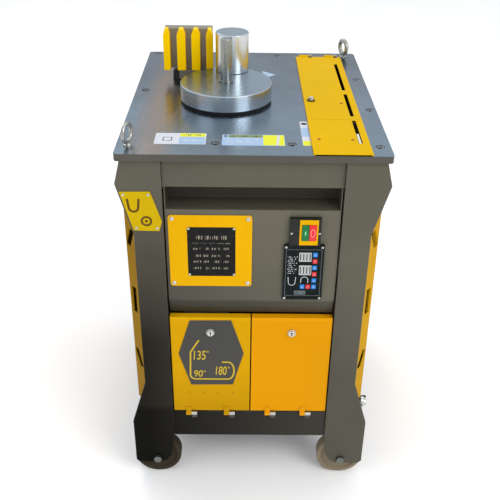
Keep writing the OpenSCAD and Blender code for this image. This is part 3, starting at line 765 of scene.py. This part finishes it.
def make_eyes(metal):
    """Forged lifting eyes: a round ring on a collar and a shank."""
    bm = bmesh.new()
    for (low, high), (turn, wire) in zip(islands("lifting_eyes"), EYES):
        foot = Vector(((low.x + high.x) / 2, (low.y + high.y) / 2, TABLE_TOP))
        angle = math.radians(turn)
        axis = Vector((-math.sin(angle), math.cos(angle), 0))
        loop = arc(EYE_OUTER - wire, 0, wire, 0, 360, 16)
        turned(bm, loop, foot + UP * EYE_HEIGHT, axis, 48)
        turned(bm, [(5.5, -14), (5.5, 0), (9, 0), (9, 2.2), (8.2, 3.2), (6.2, 3.8), (5.2, 5.4),
                    (4.6, 9)], foot, UP, 32)
    eyes = place_piece("forged_eyes", bm, "frame", metal, rounded=0.2)
    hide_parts("lifting_eyes")


def make_door_lock(name, node, body, x, metal, dark, washer=None):
    """A quarter-turn lock: bezel, plug with a key slot, barrel and cam. The key slot is a black
    sheet of painted shade.
    """
    bm = bmesh.new()
    face = (x, DOOR_FACE, LOCK_Z)
    turned(bm, [(8, -13.8), (8, 0.3), (9.6, 0.3), (9.6, 1.8), (9.0, 2.8), (8.0, 3.0), (7.6, 5.2),
                (7.0, 6), (5.6, 6), (5.2, 4.9), (0, 4.9)], face, -BACK, 40)
    slab(bm, (x - 6, DOOR_FACE + 9, LOCK_Z), (x + 6, DOOR_FACE + 12, LOCK_Z + 26))
    lock = place_piece(name, bm, body, metal, rounded=0.2)
    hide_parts(node)
    # painted shade: a black sheet on the plug's face stands in for the dark key slot
    slot = Print((x, DOOR_FACE - 4.95, LOCK_Z), RIGHT, UP)
    slot.dot(0, 1.6, 2.1, 0, 0)
    slot.bar(-1.0, -4.8, 1.0, 2, 0, 0)
    place_piece(name + "_keyhole_shade", slot.bm, body, dark)
    if washer:
        rim = bmesh.new()
        turned(rim, [(9.4, 0.4), (12.4, 0.4), (12.4, 1.5), (11.9, 1.9), (9.4, 1.9)],
               face, -BACK, 40)
        place_piece(name + "_washer", rim, body, washer, rounded=0.1)


def make_lid_lock(metal, dark):
    """The lid's lock: a low knob with a triangular key hole, which is a black sheet of painted
    shade.
    """
    rim = 9
    x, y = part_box("lid_lock")[0].x / MM + rim, centre_of("lid_lock").y
    bm = bmesh.new()
    at = (x, y, COVER_FACE)
    turned(bm, [(6, -10), (6, -2), (rim, -1.9), (rim, 1.2), (8.2, 2.2), (5.6, 2.2)],
           at, UP, 40, ink=1)
    turned(bm, [(6.4, 1.8), (6.0, 3.6), (5.6, 7.4), (4.8, 8.4), (3.4, 8.6), (3.2, 7.6), (0, 7.6)],
           at, UP, 40)
    slab(bm, (x, y - 5, COVER_FACE - 10), (x + 22, y + 5, COVER_FACE - 7))
    lock = place_piece("lid_lock_knob", bm, "lock_lid", metal, dark, rounded=0.2)
    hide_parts("lid_lock")
    # painted shade: a black triangle on the knob's top stands in for the dark key hole
    hole = Print((x, y, COVER_FACE + 7.65), RIGHT, BACK)
    hole.dot(0, 0, 2.9, 0, 0, sides=3)
    place_piece("lid_lock_keyhole_shade", hole.bm, "lock_lid", dark)


# --- printed art ---

def marks(sheet, u0, u1, v0, v1, ink, layer, beat):
    """Uneven upright strokes that read as small print from a distance; every fifth is a gap."""
    u, count = u0, 0
    while u < u1:
        wide = beat * (0.45 + 0.3 * math.sin(12.9 * (u + v0)))
        drop = (v1 - v0) * 0.11 * (1 + math.sin(7.1 * u))
        if count % 5 != 4:
            sheet.bar(u, v0 + drop * (count % 2), min(u + wide, u1), v1 - drop * (1 - count % 2),
                      ink, layer)
        u += beat
        count += 1


def sheet_print(node):
    """A print on the front face of a node, in the machine's own X and Z."""
    return Print((0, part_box(node)[0].y / MM, 0), RIGHT, UP)


def make_hexagon_art(ink):
    """A bent bar and the angles of its three bends."""
    art = sheet_print("hexagon_plate")
    bend = [(-115.8, 419.2)] + arc(-125.4, 382.3, 10, 148, 178, 4)
    bend += arc(-125.1, 319.2, 12, 180, 270, 8)
    bend += arc(-51, 332.1, 24.9, 270, 450, 20, wide=13.5) + [(-65.0, 357.0)]
    art.line(bend, 3.8, 0)
    for text, box in (("135", (-129.0, 363.5, -101, 389.5)),
                      ("90", (-128.6, 313.5, -108.5, 333)),
                      ("180", (-79.5, 319.5, -54.0, 344.5))):
        art.words(text, box, 0, 0.12)
        degree = arc(box[2] + 4.2, box[3] - 3.0, 2.2, 0, 330, 11)
        art.line(degree, 1.1, 0, closed=True)
    place_piece("bend_angles", art.bm, "door_left", ink)


def make_info_label(black, white, metal):
    """A black data plate of generic marks, with four screws."""
    label = sheet_print("info_plate")
    plate = 3 * LAYER
    label.rounded(-134, 588.5, -35, 706, 3, 0, 0, plate)
    for u0, u1 in ((-115.5, -86), (-82, -52.5)):
        marks(label, u0, u1, 677.5, 686.5, 1, 3, 3.6)
    marks(label, -123, -46, 667, 669.5, 1, 3, 3.4)
    columns = ((-122, -106), (-101, -90), (-84, -67), (-59, -47))
    for row, v in enumerate((652.5, 635.5, 621, 605)):
        for column, (u0, u1) in enumerate(columns):
            short = 5 if (row + column) % 3 == 1 else 0
            marks(label, u0 + short, u1, v, v + 5.6, 1, 3, 2.7)
    place_piece("data_plate", label.bm, "frame", black, white)
    screws = bmesh.new()
    for x in (-131, -38):
        for z in (592, 702.5):
            pan_screw(screws, (x, label.origin.y - plate, z), 2.6, 1.2)
    place_piece("data_plate_screws", screws, "frame", metal, rounded=0.1)


def make_badge_art(ink):
    """A hook and a ring, in place of the original lettering."""
    art = sheet_print("corner_badge")
    art.line([(-250, 772)] + arc(-238, 753, 9.5, 195, 345, 10) + [(-227, 772)], 4.6, 0)
    art.line(arc(-214, 722, 9.5, 0, 345, 23), 4.2, 0, closed=True)
    art.dot(-214, 722, 3.0, 0)
    place_piece("corner_pictogram", art.bm, "frame", ink)


def make_table_labels(white, blue, yellow_ink, black, green):
    """Three plain coloured labels near the table's front edge, and an arrow further back."""
    art = Print((0, 0, TABLE_TOP), RIGHT, BACK)
    art.rounded(-197, -284, -95, -228, 2, 0)
    art.bar(-148, -282.5, -97, -247, 1)
    art.bar(-148, -246, -97, -229.5, 2)
    marks(art, -140, -106, -242, -234, 4, 2, 4.0)
    art.line(arc(-172, -258, 12, 45, 315, 3), 1.6, 3, 1, closed=True)
    marks(art, -140, -104, -268, -262, 0, 2, 3.4)
    art.rounded(-63, -288, 62, -233, 2, 1)
    art.bar(-50, -247, 18, -235, 4)
    marks(art, -46, 14, -244, -238, 3, 2, 4.2)
    art.dot(-56, -241, 3.4, 3)
    marks(art, -54, 12, -262, -255, 0, 2, 3.8)
    marks(art, -54, 4, -275, -268, 0, 2, 3.8)
    art.bar(19, -286.5, 61, -234.5, 2)
    art.shape([(44, -286), (49, -286), (53, -235), (48, -235)], 0, 2)
    art.rounded(97, -286, 113.6, -158, 2, 0)
    art.bar(98, -285, 113, -262, 2)
    art.bar(98, -240, 113, -192, 1)
    art.dot(105.5, -171, 6.2, 3)
    art.shape([(24, 121), (57, 150), (25, 179)], 1)
    art.line([(29, 130), (50, 150), (30, 170)], 2.0, 0, 1)
    place_piece("table_labels", art.bm, "frame", white, blue, yellow_ink, black, green)


def face_print(node):
    """A print whose plane is the node's front face and whose origin is in its middle."""
    middle = centre_of(node)
    middle.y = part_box(node)[0].y / MM
    return Print(middle, RIGHT, UP)


def make_switch_art(pale, pink):
    """A stroke on the start button and a ring on the stop button."""
    start = face_print("start_button")
    start.rounded(-1.7, -4.5, 1.7, 4.5, 1.2, 0)
    place_piece("start_mark", start.bm, "start", pale)
    stop = face_print("stop_button")
    stop.line(arc(0, 0, 9.0, 0, 345, 23, wide=4.2), 1.8, 0, 0, closed=True)
    place_piece("stop_mark", stop.bm, "stop", pink)


def make_pad_art(grey, pale, dark, white):
    """The control pad's frame line, two displays, small print and two pictograms."""
    art = sheet_print("control_pad")
    art.line([(70, 543), (144, 543), (144, 657), (70, 657)], 0.9, 0, 0, closed=True)
    for u0, v0, u1, v1 in ((97, 628, 123, 650), (98, 595, 124, 619)):
        art.rounded(u0, v0, u1, v1, 1.5, 1, 0)
        for k in range(4):
            u = u0 + 3 + k * (u1 - u0 - 6) / 3
            art.bar(u - 0.9, v0 + 3.5, u + 0.9, v1 - 3.5, 2, 1)
    for k in range(9):
        marks(art, 74 + 2 * (k % 2), 94 - 3 * (k % 3), 638 - 5 * k, 640.4 - 5 * k, 3, 0, 2.6)
    art.line([(76, 590)] + arc(84, 576, 7, 180, 360, 10) + [(92, 590)], 1.3, 3, 0)
    art.line([(103, 575)] + arc(110.5, 583, 7.5, 180, 0, 10) + [(118, 575)], 1.3, 3, 0)
    art.rounded(90, 545.5, 114, 555.5, 1.5, 0, 0)
    marks(art, 93, 111, 548.5, 552.5, 2, 1, 2.4)
    place_piece("pad_print", art.bm, "frame", grey, pale, dark, white)


def make_key_marks(white):
    """A different simple sign on each key."""
    for index in range(1, 9):
        sign = face_print(f"key_{index}")
        if index % 3 == 0:
            sign.dot(0, 0, 1.7, 0, 0)
        elif index % 3 == 1:
            sign.shape([(-2, -1.6), (2, -1.6), (0, 2)], 0, 0)
        else:
            sign.bar(-2.2, -0.6, 2.2, 0.6, 0, 0)
        place_piece(f"key_{index}_sign", sign.bm, f"button_{index}", white)


# --- small parts of the covers, doors and inside ---

def make_cover_parts(red_brown, white):
    """Plugs in the covers and the white slide in the gutter."""
    cap = [(3.4, -0.6), (3.4, 0.5), (2.6, 1.1), (0, 1.3)]
    lid = bmesh.new()
    turned(lid, cap, (196, -56, COVER_FACE), UP, 24)
    place_piece("lid_plug", lid, "lid", red_brown, rounded=0.1)
    front = bmesh.new()
    for x, y in ((130, -262), (197, -264)):
        turned(front, cap, (x, y, COVER_FACE), UP, 24)
    place_piece("cover_plugs", front, "frame", red_brown, rounded=0.1)
    slide = bmesh.new()
    slab(slide, (208.5, -280, 862), (213.5, -226, 871.4))
    for k in range(6):
        slab(slide, (208.9, -276 + 8 * k, 871.2), (213.1, -272 + 8 * k, 872))
    place_piece("gutter_slide", slide, "frame", white, rounded=0.4)


def make_spot_welds(paint, shade_ink):
    """The four shallow dents of welded studs low on the left door."""
    bm = bmesh.new()
    for x in (-141, -107.5, -73.5, -40):
        at = (x, DOOR_FACE, 265)
        turned(bm, [(3.4, 0), (2.9, 0.4), (2.0, 0.5), (1.5, 0.2)], at, -BACK, 24)
        turned(bm, [(1.6, 0.2), (0, 0.15)], at, -BACK, 24, ink=1)
    place_piece("stud_marks", bm, "door_left", paint, shade_ink)


def make_weld_beads(paint):
    """Beads where rails, links, lugs and legs meet, the same at all four corners."""
    upright = ((249.5, 296, 134, 200), (249.5, 315.5, 740, 790), (183.5, 295, 215, 480),
               (207, 281.5, 128, 150))
    bm = bmesh.new()
    for sx in (-1, 1):
        for sy in (-1, 1):
            for seed, (x, y, z0, z1) in enumerate(upright):
                bead(bm, (sx * x, sy * y, z0), (sx * x, sy * y, z1), 2.2, seed + sx + sy)
            bead(bm, (sx * 208, sy * 281.5, 130.8), (sx * 246, sy * 281.5, 130.8), 2.0, 3)
    place_piece("weld_beads", bm, "frame", paint)


CUBE = ((0, 1, 2, 3), (7, 6, 5, 4), (0, 4, 5, 1), (1, 5, 6, 2), (2, 6, 7, 3), (3, 7, 4, 0))
MOTOR_RADIUS, MOTOR_LENGTH = 60, 190
MOTOR_INSET = 65  # from the right end of its box to its axis


def motor_fin(bm, foot, degrees):
    """One upright cooling fin that gets thinner outwards; foot is the motor's lowest middle."""
    angle = math.radians(degrees)
    out = Vector((math.cos(angle), math.sin(angle), 0))
    side = Vector((-out.y, out.x, 0)) * 1.1
    root, tip = MOTOR_RADIUS - 2, MOTOR_RADIUS + 7
    section = ((root, 1), (root, -1), (tip, -0.6), (tip, 0.6))
    corners = [bm.verts.new((foot + out * reach + side * share + UP * height) * MM)
               for height in (24, MOTOR_LENGTH - 4) for reach, share in section]
    for face in CUBE:
        bm.faces.new([corners[k] for k in face])


def make_motor_details(paint, dark, bright):
    """Cooling fins, fan cowl with its grille and the terminal box's cover."""
    low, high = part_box("motor_housing")
    y0, z0 = (low.y + high.y) / 2 / MM, low.z / MM
    foot = Vector((high.x / MM - MOTOR_INSET, y0, z0))
    bm = bmesh.new()
    for degrees in range(0, 360, 10):
        if math.cos(math.radians(degrees)) > -0.8:  # the terminal box is on the left
            motor_fin(bm, foot, degrees)
    turned(bm, [(66, 20), (68, 18), (68, -6), (62, -12), (46, -13), (44, -11.5), (0, -11.5)],
           foot, UP, 48)
    place_piece("motor_fins", bm, "frame", paint, rounded=0.4)
    rings = bmesh.new()
    for r in (14, 22, 30, 38):
        turned(rings, [(r, -13.2), (r, -14), (r + 3.6, -14), (r + 3.6, -13.2)], foot, UP, 40)
    place_piece("fan_grille", rings, "frame", dark)
    cover = bmesh.new()
    x = low.x / MM
    slab(cover, (x - 3, y0 - 32, z0 + 78), (x + 1, y0 + 32, z0 + 162))
    for y in (y0 - 26, y0 + 26):
        for z in (z0 + 84, z0 + 156):
            turned(cover, [(3.2, 3), (3.2, 4.6), (1.6, 4.8), (1.4, 4, 6), (0, 4)],
                   (x, y, z), -RIGHT, 20, ink=1)
    place_piece("terminal_cover", cover, "frame", paint, bright, rounded=0.6)


def make_box_details(paint, dark, bright):
    """The electrical box's door with its gasket, hinges and lock, and two cable glands."""
    low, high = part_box("electrical_box")
    x0, x1, face = low.x / MM + 5, high.x / MM - 5, low.y / MM + 2
    z0, z1 = low.z / MM + 6, low.z / MM + 192
    bm = bmesh.new()
    slab(bm, (x0, face - 1.2, z0), (x1, face, z1), 1)
    slab(bm, (x0 + 1.5, face - 3.6, z0 + 1.5), (x1 - 1.5, face - 1.2, z1 - 1.5))
    for z in (z0 + 22, z1 - 34):
        turned(bm, [(0, 0), (2.8, 0), (2.8, 18), (0, 18)],
               (x0 + 0.5, face - 3.6, z), UP, 20, 2)
    turned(bm, [(8, 3.6), (8, 5), (7, 6), (4, 6), (3.4, 5, 4), (0, 5)],
           (x1 - 12, face, (z0 + z1) / 2), -BACK, 32, 2)
    for x in (x0 + 26, x0 + 58):
        turned(bm, [(9, 0), (9, 4), (8, 5, 6), (8, 12, 6), (6, 14), (5, 17), (0, 17)],
               (x, face + 60, high.z / MM), UP, 36, 1)
    place_piece("box_door", bm, "frame", paint, dark, bright, rounded=0.5)


# --- finishes ---

YELLOW = srgb(231, 173, 0)
FRAME_GREY = srgb(93, 89, 76)
ZINC = srgb(205, 205, 200)
PALE_WEAR = srgb(252, 214, 110)  # where yellow paint is rubbed
GREY_WEAR_AND_HIGHLIGHT = srgb(165, 160, 148)  # where grey paint is rubbed, and painted highlight along its edges
DISC_AXIS = centre_of("bending_disc") * MM
ROLLER_AXIS = centre_of("bending_roller") * MM

# Shadows of painted(): ramps of Recipe.slope, in metres, and the share of light they leave.
ALL_LOW = (((2, 0.62, 0.20),), 0.72)  # painted shade towards the floor
LEFT_LOW = (((0, 0.20, -0.24), (1, -0.1, -0.26), (2, 0.80, 0.42)), 0.17)  # painted shade low on the left
BEAM_LOW = (((0, 0.184, 0.178), (1, -0.1, -0.2), (2, 0.23, 0.21)), 0.42)  # painted shade on the bottom beam
RECESS = (((1, -0.3195, -0.316), (2, 0.735, 0.747)), 0.6)  # painted shade in the hand recess
LIP = (((1, -0.3205, -0.3175), (2, 0.533, 0.527)), 0.55)  # painted shade where the fascia leans back
FOLDS = (((1, -0.245, -0.262),), 0.8)  # painted shade on the front folds of the side panels
# painted shade on the left panel's front fold
LEFT_FOLD = (((0, 0.1, -0.1), (1, -0.245, -0.262)), 0.48)
# painted shade on the right panel's front fold
RIGHT_FOLD = (((0, -0.1, 0.1), (1, -0.245, -0.262)), 0.82)
DOOR_FOOT = (((2, 0.34, 0.21),), 0.8)  # painted shade low on the left door
DOOR_TOP = (((2, 0.4715, 0.4725),), 1.07)  # painted highlight: a door's top fold is brighter
LEFT_WHEEL = (((0, 0.05, -0.1), (1, -0.19, -0.24)), 0.2)  # painted shade on the front left wheel

yellow = painted("yellow_paint", YELLOW, PALE_WEAR)
panel_yellow = painted("panel_paint", YELLOW, PALE_WEAR, coat=0.01, specular=0.02,
                       shadows=(FOLDS, LEFT_FOLD, RIGHT_FOLD))
badge_yellow = painted("badge_paint", srgb(202, 170, 6), PALE_WEAR)
lid_yellow = painted("lid_paint", srgb(212, 169, 0), PALE_WEAR, patch=0.94, coat=0.01,
                     specular=0.015)
jaw_yellow = painted("jaw_paint", srgb(255, 206, 0), srgb(120, 112, 90), wear=0.5, patch=0.95)
door_left = painted("door_left_paint", srgb(209, 156, 0), PALE_WEAR, patch=0.95,
                    shadows=(DOOR_FOOT, DOOR_TOP))
door_right = painted("door_right_paint", srgb(220, 149, 0), PALE_WEAR, patch=0.96,
                     shadows=(DOOR_TOP,))
frame_paint = painted("frame_paint", FRAME_GREY, GREY_WEAR_AND_HIGHLIGHT, rough=(0.3, 0.45), patch=0.84,
                      wear=0.6, shadows=(ALL_LOW, LEFT_LOW, BEAM_LOW, RECESS, LIP),
                      specular=0.2, dull=LEFT_LOW[0])
# painted light: the frame's grey made 1.28 times brighter on the fascia
fascia_paint_lit = painted("fascia_paint_lit", shade(FRAME_GREY, 1.28), GREY_WEAR_AND_HIGHLIGHT, rough=(0.3, 0.45),
                       patch=0.86, wear=0.6, shadows=(LEFT_LOW, RECESS, LIP), specular=0.2)
grey_plate = painted("grey_plate", srgb(76, 75, 72), srgb(140, 140, 138), rough=(0.42, 0.55),
                     coat=0.0)
wheel_tan = painted("wheel_plastic", srgb(134, 121, 100), srgb(170, 158, 136),
                    rough=(0.45, 0.6), coat=0.0, peel=0.3, shadows=(LEFT_WHEEL,),
                    specular=0.12, dull=LEFT_WHEEL[0])
case_iron = painted("case_iron", srgb(80, 90, 98), srgb(140, 140, 140), rough=(0.45, 0.6),
                    coat=0.0, peel=0.4)
motor_blue = painted("motor_paint", srgb(70, 100, 135), srgb(140, 150, 160), rough=(0.4, 0.5))
box_grey = painted("box_grey", srgb(186, 186, 182), srgb(220, 220, 220), rough=(0.4, 0.5))

EVEN = (1, 1, 1)  # grain without a direction
table_steel = table_material()
disc_steel = turned_metal("disc_steel", srgb(146, 166, 184), srgb(190, 196, 202), DISC_AXIS,
                          (0.2, 0.3))
pin_steel = turned_metal("pin_steel", srgb(150, 160, 164), srgb(150, 152, 146), DISC_AXIS,
                         (0.2, 0.3))
roller_steel = turned_metal("roller_steel", srgb(150, 174, 188), srgb(214, 216, 214),
                            ROLLER_AXIS, (0.17, 0.27))
fence_steel = bare_metal("fence_steel", srgb(152, 148, 134), (0.35, 0.5))
fence_dark = bare_metal("fence_foot", srgb(78, 80, 78), (0.35, 0.5))
zinc = bare_metal("zinc", ZINC, (0.22, 0.35), EVEN, 80)
dull_zinc = bare_metal("dull_zinc", srgb(120, 122, 120), (0.35, 0.5), EVEN, 80)
eye_steel = bare_metal("eye_steel", srgb(172, 172, 166), (0.28, 0.42), EVEN, 60)
bolt_steel = bare_metal("bolt_steel", srgb(110, 112, 116), (0.25, 0.4), EVEN, 90)

dark_plastic = moulded("dark_plastic", srgb(26, 28, 24))
pad_plastic = moulded("pad_plastic", srgb(20, 27, 26), specular=0.06)
green_plastic = moulded("green_plastic", srgb(18, 112, 54))
red_plastic = moulded("red_plastic", srgb(222, 44, 46))
red_key = moulded("red_key", srgb(214, 52, 60))
blue_key = moulded("blue_key", srgb(40, 130, 215))
plug_red = moulded("plug_red", srgb(150, 70, 10))
white_plastic = moulded("white_plastic", srgb(215, 215, 210))
rubber = moulded("black_rubber", srgb(16, 16, 17), (0.45, 0.6))

black_ink = printed("black_ink", srgb(14, 13, 12), (0.12, 0.22))
brown_ink = printed("brown_ink", srgb(92, 62, 8))
grey_ink = printed("grey_ink", srgb(96, 104, 106))
label_ink = printed("label_ink", srgb(150, 142, 124))
pale_ink = printed("pale_ink", srgb(176, 178, 176))
white_ink = printed("white_ink", srgb(198, 201, 210))
blue_ink = printed("blue_ink", srgb(152, 178, 206))
green_ink = printed("green_ink", srgb(120, 132, 72))
mint_ink = printed("mint_ink", srgb(110, 205, 140))
pink_ink = printed("pink_ink", srgb(245, 130, 130))
yellow_ink = printed("yellow_ink", srgb(214, 216, 40))
sign_yellow = printed("sign_yellow", srgb(196, 166, 44))

# --- the CAD nodes' finishes and the rounding of their edges ---

dress_nodes(table_steel, 1.2, "table_plate")
dress_nodes(frame_paint, 1.0, "front_left_leg", "front_right_leg", "rear_legs", "top_frame",
            "bottom_frame", "base_tray")
dress_nodes(fascia_paint_lit, 0.8, "control_fascia")
dress_nodes(panel_yellow, 0.5, "left_side_panel", "right_side_panel", "rear_panel")
dress_nodes(yellow, 0.5, "info_plate", "switch_faceplate")
dress_nodes(badge_yellow, 0.4, "corner_badge")
dress_nodes(jaw_yellow, 1.2, "fence_jaws")
dress_nodes(lid_yellow, 0.5, "top_cover_lid", "top_cover_front")
dress_nodes(door_left, 1.0, "left_door")
dress_nodes(door_right, 1.0, "right_door")
dress_nodes(grey_plate, 0.3, "hexagon_plate")
dress_nodes(dull_zinc, 0.4, "wheel_axles")
dress_nodes(hinge_material(FRAME_GREY, ZINC), 0.4, "door_hinge_pins")
dress_nodes(dark_plastic, 0.5, "switch_box", "cable_gland")
dress_nodes(pad_plastic, 0.5, "control_pad")
dress_nodes(green_plastic, 0.8, "start_button")
dress_nodes(red_plastic, 0.8, "stop_button")
dress_nodes(red_key, 0.6, "key_2", "key_4", "key_8")
dress_nodes(blue_key, 0.6, "key_1", "key_3", "key_5", "key_6", "key_7")
dress_nodes(disc_steel, 0.5, "bending_disc")
dress_nodes(pin_steel, 0.3, "centre_pin")
dress_nodes(roller_steel, 0.4, "bending_roller")
dress_nodes(disc_steel, 0, "main_shaft", "main_gear", "main_bearings", "intermediate_gear",
            "input_shaft", "motor_rotor")
dress_nodes(fence_steel, 0.6, "fence_block")
dress_nodes(fence_dark, 0.6, "fence_base")
dress_nodes(rubber, 0.3, "seal_ring", "drive_belt")
dress_nodes(wheel_tan, 0.5, "front_left_wheel", "front_right_wheel", "rear_left_wheel",
            "rear_right_wheel")
dress_nodes(case_iron, 1.0, "gearbox_housing")
dress_nodes(motor_blue, 1.0, "motor_housing")
dress_nodes(box_grey, 0.8, "electrical_box")

# --- the visual pieces, the camera and the stage ---

make_fasteners(zinc, bolt_steel)
make_eyes(eye_steel)
make_door_lock("left_lock", "left_door_lock", "lock_left", -90, zinc, black_ink, grey_plate)
make_door_lock("right_lock", "right_door_lock", "lock_right", 90, zinc, black_ink)
make_lid_lock(zinc, black_ink)
make_hexagon_art(sign_yellow)
make_info_label(black_ink, label_ink, zinc)
make_badge_art(brown_ink)
make_table_labels(white_ink, blue_ink, yellow_ink, black_ink, green_ink)
make_switch_art(mint_ink, pink_ink)
make_pad_art(grey_ink, pale_ink, black_ink, white_ink)
make_key_marks(pale_ink)
make_cover_parts(plug_red, white_plastic)
make_spot_welds(door_left, brown_ink)
make_weld_beads(frame_paint)
make_motor_details(motor_blue, rubber, zinc)
make_box_details(box_grey, rubber, zinc)
make_camera()
make_studio()
